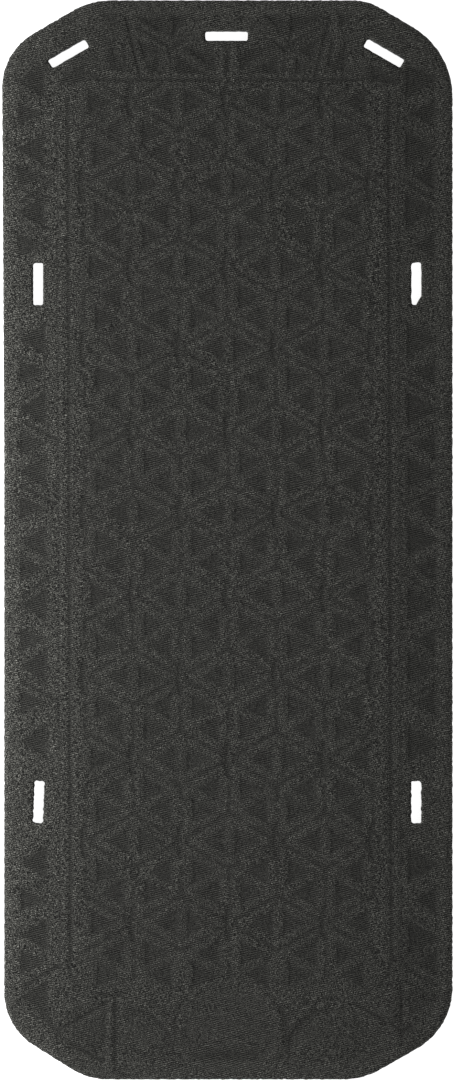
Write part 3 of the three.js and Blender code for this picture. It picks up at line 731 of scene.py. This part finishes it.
def edge_distance(points):
    """Distance to the nearest point of the panel's edge."""
    parts = [np.hypot(*(part[:, None] - EDGE).T).min(axis=0) for part in np.array_split(points, 60)]
    return np.concatenate(parts)


def coarse_points():
    """A wide grid inside the outline and outside the slots, for the plain faces between knit and core."""
    x, y = np.meshgrid(np.linspace(-MIDDLE_HALF, MIDDLE_HALF, 9), np.linspace(MIDDLE_BOTTOM, MIDDLE_TOP, 21))
    grid = np.stack([x.ravel(), y.ravel()], axis=1)
    return grid[inside_loop(grid, EDGE, 4) & outside_slots(grid, 4)]


def knit_face():
    """The laminated knit: its relief on the face, edges that round over into the cut, and a plain back."""
    body = Body()
    sides = [(EDGE, -1, EDGE_STEPS)] + [(loop, 1, SLOT_STEPS) for loop in SLOT_EDGES]
    inner = [loop + way * steps[0][0] * outward(loop) for loop, way, steps in sides]
    points = face_points()
    keep = inside_loop(points, EDGE, EDGE_STEPS[0][0] + 0.7) & outside_slots(points, SLOT_STEPS[0][0] + 0.6)
    points, triangles = filled(inner[0], inner[1:], points[keep])
    height, pressed_and_shade = face_height(points[:, 0], points[:, 1])
    body.add(points, height)
    body.faces.append(triangles)
    under, under_triangles = filled(EDGE, SLOT_EDGES, coarse_points())
    under_first = body.add(under, core_top(under[:, 0], under[:, 1]) + BOND_LINE)
    body.faces.append(under_triangles[:, ::-1] + under_first)
    top_start = under_start = 0
    for loop, way, steps in sides:
        starts = [top_start]
        for distance, fall in steps[1:]:
            xy = loop + way * distance * outward(loop)
            starts.append(body.add(xy, face_height(xy[:, 0], xy[:, 1])[0] - fall))
        starts.append(under_first + under_start)
        body.faces.append(strip(starts, len(loop), way > 0))
        top_start += len(loop)
        under_start += len(loop)
    made = body.piece("knit_face")
    xy = np.vstack(body.points)[:, :2]
    pressed_and_shade = np.concatenate([pressed_and_shade, np.zeros(len(xy) - len(pressed_and_shade))])
    rim = ease((RIM - edge_distance(xy)) / 0.7)
    smooth_and_wing_light = smoothness_and_wing_light(xy[:, 0], xy[:, 1], pressed_and_shade)
    # These attributes carry the painted shade of the hollows and the painted raking light of the wings into
    # the knit's colour.
    for name, values in (("pressed_and_shade", pressed_and_shade), ("rim", rim), ("smooth_and_wing_light", smooth_and_wing_light)):
        made.data.attributes.new(name, "FLOAT", "POINT").data.foreach_set("value", values.astype(np.float32))
    return made


def block_height(x, y):
    """Height of the core's underside: 0 under the middle, and up the flare to the wings and flaps. The flare
    follows the distance outside the middle's octagon."""
    half, top, bottom = MIDDLE_HALF - BLOCK_FLARE, MIDDLE_TOP, MIDDLE_BOTTOM - BLOCK_FLARE
    straight = np.maximum(np.abs(x) - half, np.maximum(y - top, bottom - y))
    cut = np.abs(x) - half + BLOCK_CORNER + np.maximum(y - top, bottom - y)
    away = np.maximum(straight, cut / np.sqrt(2))
    return FLANGE_LIFT * np.clip(away / BLOCK_FLARE, 0, 1)


def block_loop(run):
    """The middle's octagon, moved outwards by the given run up the flare."""
    half, top, bottom = MIDDLE_HALF - BLOCK_FLARE + run, MIDDLE_TOP + run, MIDDLE_BOTTOM - BLOCK_FLARE - run
    corner = BLOCK_CORNER + (2 - np.sqrt(2)) * run
    corners = [
        (half, bottom + corner), (half, top - corner), (half - corner, top), (corner - half, top),
        (-half, top - corner), (-half, bottom + corner), (corner - half, bottom), (half - corner, bottom),
    ]
    return rounded_loop(np.hstack([corners, np.full((8, 1), 2.0 + run)]), 3.0)


def pits():
    """The core's open cells and grooves: outline, width of the rounded lip, how far the wall has come in
    below and at its ceiling, and the ceiling's height. A slanting groove starts clear of the level one."""
    made = []
    for corners in CELLS:
        room = inner_radius(corners)
        ceiling = core_top(corners[:, 0], corners[:, 1]).min() - CELL_WEB
        made.append((corners, 0.3, min(0.35, 0.3 * room), min(0.9, 0.55 * room), ceiling))
    for x1, y1, x2, y2, *_ in MAIN_GROOVES:
        along = np.array([x2 - x1, y2 - y1]) / np.hypot(x2 - x1, y2 - y1)
        across = GROOVE_WIDTH / 2 * np.array([-along[1], along[0]])
        start, finish = np.array([x1, y1]), np.array([x2, y2])
        if abs(x2 - x1) > 1 and abs(y2 - y1) > 1:
            start = start + 2.4 * along
        corners = np.array([start - across, finish - across, finish + across, start + across])
        made.append((corners, 0.2, 1.0, 1.35, core_top(x1, y1) - GROOVE_WEB))
    return made


def foam_core():
    """The moulded foam: plain on top, a cut side, and open cells, creases and the flared middle below. Each
    cell's wall runs from a rounded mouth up a slight draft to its rounded ceiling."""
    body = Body()
    inset = EDGE - 0.2 * outward(EDGE)
    slots = [loop + 0.15 * outward(loop) for loop in SLOT_EDGES]
    top, top_triangles = filled(inset, slots, coarse_points())
    body.add(top, core_top(top[:, 0], top[:, 1]))
    body.faces.append(top_triangles)

    mouths, walls = [], []
    for corners, lip, lower, upper, ceiling in pits():
        steps = [(lip, 0.0), (lip / 3, 0.12), (0.0, 0.45), (-lower, None), (-upper, None)]
        loops = [rounded_loop(spread(corners, d, max(0.12, 0.6 + d)), 40.0) for d, _ in steps]
        if len({len(loop) for loop in loops}) > 1:
            raise ValueError("the loops of a cell differ in length")
        mouths.append(loops[0])
        walls.append((loops, steps, ceiling))

    bottom_edge = EDGE - 1.0 * outward(EDGE)
    bottom_slots = [loop + 0.8 * outward(loop) for loop in SLOT_EDGES]
    guides = np.vstack([block_loop(run) for run in (-0.8, 0.0, 0.6, 2.4, 3.0, 3.8)])
    free = inside_loop(guides, EDGE, 2) & outside_slots(guides, 1.5)
    for mouth in mouths:
        low, high = mouth.min(axis=0) - 0.2, mouth.max(axis=0) + 0.2
        free &= ((guides < low) | (guides > high)).any(axis=1)
    under, triangles = filled(bottom_edge, bottom_slots + mouths, guides[free])
    first = body.add(under, block_height(under[:, 0], under[:, 1]))
    body.faces.append(triangles[:, ::-1] + first)

    at_top = at_bottom = 0
    sides = [(EDGE, -1, (0.2, 0.2, 0.45))] + [(loop, 1, (0.15, 0.15, 0.4)) for loop in SLOT_EDGES]
    for loop, way, (upper, lower, last) in sides:
        starts = [at_top]
        roof = core_top(loop[:, 0], loop[:, 1])
        floor = block_height(loop[:, 0], loop[:, 1])
        rows = [(upper, roof - 0.4), (lower, (roof + floor) / 2), (lower, floor + 0.7), (last, floor + 0.15)]
        for distance, height in rows:
            starts.append(body.add(loop + way * distance * outward(loop), height))
        starts.append(first + at_bottom)
        body.faces.append(strip(starts, len(loop), way > 0))
        at_top += len(loop)
        at_bottom += len(loop)
    for loops, steps, ceiling in walls:
        count = len(loops[0])
        starts = [first + at_bottom]
        for loop, (_, rise) in list(zip(loops, steps))[1:3]:
            starts.append(body.add(loop, block_height(loop[:, 0], loop[:, 1]) + rise))
        starts.append(body.add(loops[3], ceiling - 0.6))
        starts.append(body.add(loops[4], ceiling))
        body.faces.append(strip(starts, count, False))
        lid = np.arange(count)
        body.faces.append((starts[-1] + lid)[None, ::-1])
        at_bottom += count
    return body.piece("foam_core")


# Materials


def add(tree, kind, inputs=None, **settings):
    """Adds a node, sets it up, and links or sets its inputs."""
    made = tree.nodes.new(kind)
    for name, value in settings.items():
        setattr(made, name, value)
    for name, value in (inputs or {}).items():
        if isinstance(value, bpy.types.NodeSocket):
            tree.links.new(value, made.inputs[name])
        else:
            made.inputs[name].default_value = value
    return made


def maths(tree, operation, *values):
    """The output of a Math node on numbers or sockets."""
    return add(tree, "ShaderNodeMath", dict(enumerate(values)), operation=operation).outputs[0]


def ramp(tree, value, low, high, bottom=0.0, top=1.0):
    """A smooth step from bottom to top as the value goes from low to high."""
    inputs = {0: value, 1: low, 2: high, 3: bottom, 4: top}
    return add(tree, "ShaderNodeMapRange", inputs, interpolation_type="SMOOTHSTEP").outputs[0]


def grey(level, warm=0.0):
    """A linear colour from an sRGB level out of 255, a little warmer where warm is above 0."""
    parts = np.array([level, level, level - warm]) / 255
    linear = np.where(parts > 0.04045, ((parts + 0.055) / 1.055) ** 2.4, parts / 12.92)
    return (*linear.tolist(), 1.0)


def new_material(name):
    """A new material, its tree, its shader and its Object coordinates in mm."""
    made = bpy.data.materials.new(name)
    made.use_nodes = True
    tree = made.node_tree
    shader = tree.nodes["Principled BSDF"]
    place = add(tree, "ShaderNodeTexCoord").outputs["Object"]
    scaled = add(tree, "ShaderNodeVectorMath", {0: place, "Scale": 1000.0}, operation="SCALE").outputs[0]
    return made, tree, shader, scaled


COURSE_PITCH = 0.94  # over two rows of dashes
STITCH_PITCH = 3.79  # over a dash and the gap after it
YARN_LEVEL = 54.0  # sRGB level of the knit's middle tone
YARN_WARMTH = 2.9


def melange_knit():
    """Melange knit. Its courses run across the panel as dashes of yarn, and each row fills the gaps of the
    one before: cos(x) times cos(y), both bent by slow noise. Over it lie dark and light fibres: a random tone
    for each tuft of a third of a millimetre, and a fine noise, stretched along the courses. Where the cloth
    lies smoother, fewer light fibres show; on the wings that mask paints raking light, giving the left wing,
    which the key light strikes at a slant, stronger and slightly paler grain than the right. Where the mould
    presses the knit it is darker, partly for flattened yarn and partly as painted shade in the cells, creases
    and grooves, and in the rim a little paler."""
    made, tree, shader, place = new_material("melange_knit")
    split = add(tree, "ShaderNodeSeparateXYZ", {0: place})
    x, y = split.outputs[0], split.outputs[1]
    pressed_and_shade = add(tree, "ShaderNodeAttribute", attribute_name="pressed_and_shade").outputs["Fac"]
    rim = add(tree, "ShaderNodeAttribute", attribute_name="rim").outputs["Fac"]
    smooth_and_wing_light = add(tree, "ShaderNodeAttribute", attribute_name="smooth_and_wing_light").outputs["Fac"]
    slow = add(tree, "ShaderNodeTexNoise", {"Vector": place, "Scale": 0.03, "Detail": 1.0}).outputs["Color"]
    quick = add(tree, "ShaderNodeTexNoise", {"Vector": place, "Scale": 0.14, "Detail": 1.0}).outputs["Color"]
    slow = add(tree, "ShaderNodeSeparateXYZ", {0: slow})
    quick = add(tree, "ShaderNodeSeparateXYZ", {0: quick})
    bent_x = maths(tree, "MULTIPLY_ADD", quick.outputs[0], 1.5, maths(tree, "MULTIPLY_ADD", y, 0.25, x))
    bent_y = maths(tree, "MULTIPLY_ADD", slow.outputs[1], 4.0, y)
    bent_y = maths(tree, "MULTIPLY_ADD", quick.outputs[1], 0.35, bent_y)
    stitch = maths(tree, "COSINE", maths(tree, "MULTIPLY", bent_x, 2 * np.pi / STITCH_PITCH))
    course = maths(tree, "COSINE", maths(tree, "MULTIPLY", bent_y, 2 * np.pi / COURSE_PITCH))
    dashes = maths(tree, "MULTIPLY", stitch, course)
    tuft = add(tree, "ShaderNodeTexVoronoi", {"Vector": place, "Scale": 2.9}).outputs["Color"]
    tuft = add(tree, "ShaderNodeSeparateXYZ", {0: tuft}).outputs[0]
    stretch = {0: place, 1: (0.85, 1.0, 1.0)}
    along = add(tree, "ShaderNodeVectorMath", stretch, operation="MULTIPLY").outputs[0]
    fibre = add(tree, "ShaderNodeTexNoise", {"Vector": along, "Scale": 2.4, "Detail": 0.0}).outputs[0]
    cloud = add(tree, "ShaderNodeTexNoise", {"Vector": place, "Scale": 0.09, "Detail": 2.0}).outputs[0]
    # Painted raking light: on the wings this mask sets how strong and how pale the grain is drawn, standing
    # in for the key light from the left.
    yarn = maths(tree, "MULTIPLY_ADD", dashes, maths(tree, "MULTIPLY_ADD", smooth_and_wing_light, 0.43, 0.72), 1.0)
    weight = maths(tree, "MULTIPLY_ADD", smooth_and_wing_light, -0.9, 1.55)
    power = maths(tree, "MULTIPLY", maths(tree, "SUBTRACT", tuft, 0.5), weight)
    power = maths(tree, "MULTIPLY_ADD", maths(tree, "SUBTRACT", cloud, 0.5), 0.3, power)
    power = maths(tree, "MULTIPLY_ADD", rim, 0.15, power)
    # Painted shade: the mask darkens the knit where the mould presses it, partly for flattened yarn and
    # partly for the shade in cells, creases and grooves; elsewhere the knit is a little paler.
    power = maths(tree, "ADD", power, ramp(tree, pressed_and_shade, 0.0, 1.0, 0.13, -0.2))
    contrast = maths(tree, "MULTIPLY_ADD", smooth_and_wing_light, -3.0, 5.2)
    fibres = maths(tree, "MULTIPLY_ADD", maths(tree, "SUBTRACT", fibre, 0.5), contrast, 1.0)
    tone = maths(tree, "MULTIPLY", maths(tree, "EXPONENT", power), maths(tree, "MAXIMUM", fibres, 0.1))
    tone = maths(tree, "MULTIPLY", tone, maths(tree, "MAXIMUM", yarn, 0.04))
    shade = {0: grey(YARN_LEVEL, YARN_WARMTH)[:3], "Scale": tone}
    colour = add(tree, "ShaderNodeVectorMath", shade, operation="SCALE").outputs[0]
    tree.links.new(colour, shader.inputs["Base Color"])
    shader.inputs["Roughness"].default_value = 0.92
    shader.inputs["Specular IOR Level"].default_value = 0.2
    shader.inputs["Sheen Weight"].default_value = 0.08
    shader.inputs["Sheen Roughness"].default_value = 0.5
    height = maths(tree, "MULTIPLY_ADD", dashes, 0.5, maths(tree, "MULTIPLY_ADD", tuft, 0.5, fibre))
    bump = add(tree, "ShaderNodeBump", {"Height": height, "Strength": 0.8, "Distance": 0.0003})
    tree.links.new(bump.outputs[0], shader.inputs["Normal"])
    return made


def black_foam():
    """Closed-cell foam: fine pores as the edges of Voronoi cells of about 0.7 mm, under a slow mottle."""
    made, tree, shader, place = new_material("black_foam")
    pores = add(tree, "ShaderNodeTexVoronoi", {"Vector": place, "Scale": 1.4}, feature="DISTANCE_TO_EDGE")
    grain = add(tree, "ShaderNodeTexNoise", {"Vector": place, "Scale": 2.6, "Detail": 3.0}).outputs[0]
    mottle = add(tree, "ShaderNodeTexNoise", {"Vector": place, "Scale": 0.06, "Detail": 3.0}).outputs[0]
    wall = ramp(tree, pores.outputs[0], 0.02, 0.16)
    tone = ramp(tree, wall, 0.0, 1.0, 1.0, 0.6)
    tone = maths(tree, "MULTIPLY", ramp(tree, mottle, 0.3, 0.7, 0.6, 1.0), tone)
    shades = {0: tone, 6: grey(24), 7: grey(52, 1)}
    colour = add(tree, "ShaderNodeMix", shades, data_type="RGBA").outputs[2]
    tree.links.new(colour, shader.inputs["Base Color"])
    tree.links.new(ramp(tree, mottle, 0.3, 0.7, 0.62, 0.8), shader.inputs["Roughness"])
    shader.inputs["Specular IOR Level"].default_value = 0.3
    height = maths(tree, "ADD", maths(tree, "MULTIPLY", wall, -0.5), maths(tree, "MULTIPLY", grain, 0.8))
    bump = add(tree, "ShaderNodeBump", {"Height": height, "Strength": 0.5, "Distance": 0.0002})
    tree.links.new(bump.outputs[0], shader.inputs["Normal"])
    return made


knit = knit_face()
knit.data.materials.append(melange_knit())
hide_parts("face_fabric")
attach(knit, "root")

core = foam_core()
core.data.materials.append(black_foam())
crisp = core.modifiers.new("crisp", "WEIGHTED_NORMAL")
crisp.keep_sharp = True
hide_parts("impact_core")
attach(core, "root")

# Floor, light and camera


def lit_floor():
    """A pale floor, lit a little from within, so that it shows white through the slots."""
    mesh = bpy.data.meshes.new("floor")
    reach = 4.0
    corners = [(-reach, -reach, 0), (reach, -reach, 0), (reach, reach, 0), (-reach, reach, 0)]
    mesh.from_pydata(corners, [], [(0, 1, 2, 3)])
    made = bpy.data.objects.new("floor", mesh)
    bpy.context.scene.collection.objects.link(made)
    material = bpy.data.materials.new("floor_white")
    material.use_nodes = True
    shader = material.node_tree.nodes["Principled BSDF"]
    shader.inputs["Base Color"].default_value = (0.85, 0.85, 0.85, 1)
    shader.inputs["Roughness"].default_value = 0.9
    shader.inputs["Emission Color"].default_value = (1, 1, 1, 1)
    shader.inputs["Emission Strength"].default_value = 0.9
    mesh.materials.append(material)


def area_light(name, place, size, energy):
    """A square soft light that faces the middle of the panel."""
    data = bpy.data.lights.new(name, "AREA")
    data.size = size
    data.energy = energy
    made = bpy.data.objects.new(name, data)
    made.location = place
    made.rotation_euler = (-Vector(place)).to_track_quat("-Z", "Y").to_euler()
    made.visible_camera = False
    bpy.context.scene.collection.objects.link(made)


lit_floor()
area_light("key", (-0.55, -0.035, 0.3), 0.25, 4.9)
area_light("fill", (0.6, -0.4, 2.9), 1.6, 16.0)

world = bpy.data.worlds.new("studio")
bpy.context.scene.world = world
world.use_nodes = True
world.node_tree.nodes["Background"].inputs[0].default_value = (1, 1, 1, 1)
world.node_tree.nodes["Background"].inputs[1].default_value = 0.25
bpy.context.scene.view_settings.view_transform = "Standard"

CAMERA_HEIGHT = 2.6
PIXEL_MM = 480 / 1080.3  # size of the photograph's pixel on the face
SENSOR_MM = 36.0
camera_data = bpy.data.cameras.new("camera")
camera_data.sensor_width = SENSOR_MM
face_distance = CAMERA_HEIGHT - (CORE_THICKNESS + KNIT_RISE) * MM
camera_data.lens = SENSOR_MM * face_distance / (1080 * PIXEL_MM * MM)
camera = bpy.data.objects.new("camera", camera_data)
camera.location = (-0.0001, -0.00004, CAMERA_HEIGHT)
bpy.context.scene.collection.objects.link(camera)
bpy.context.scene.camera = camera
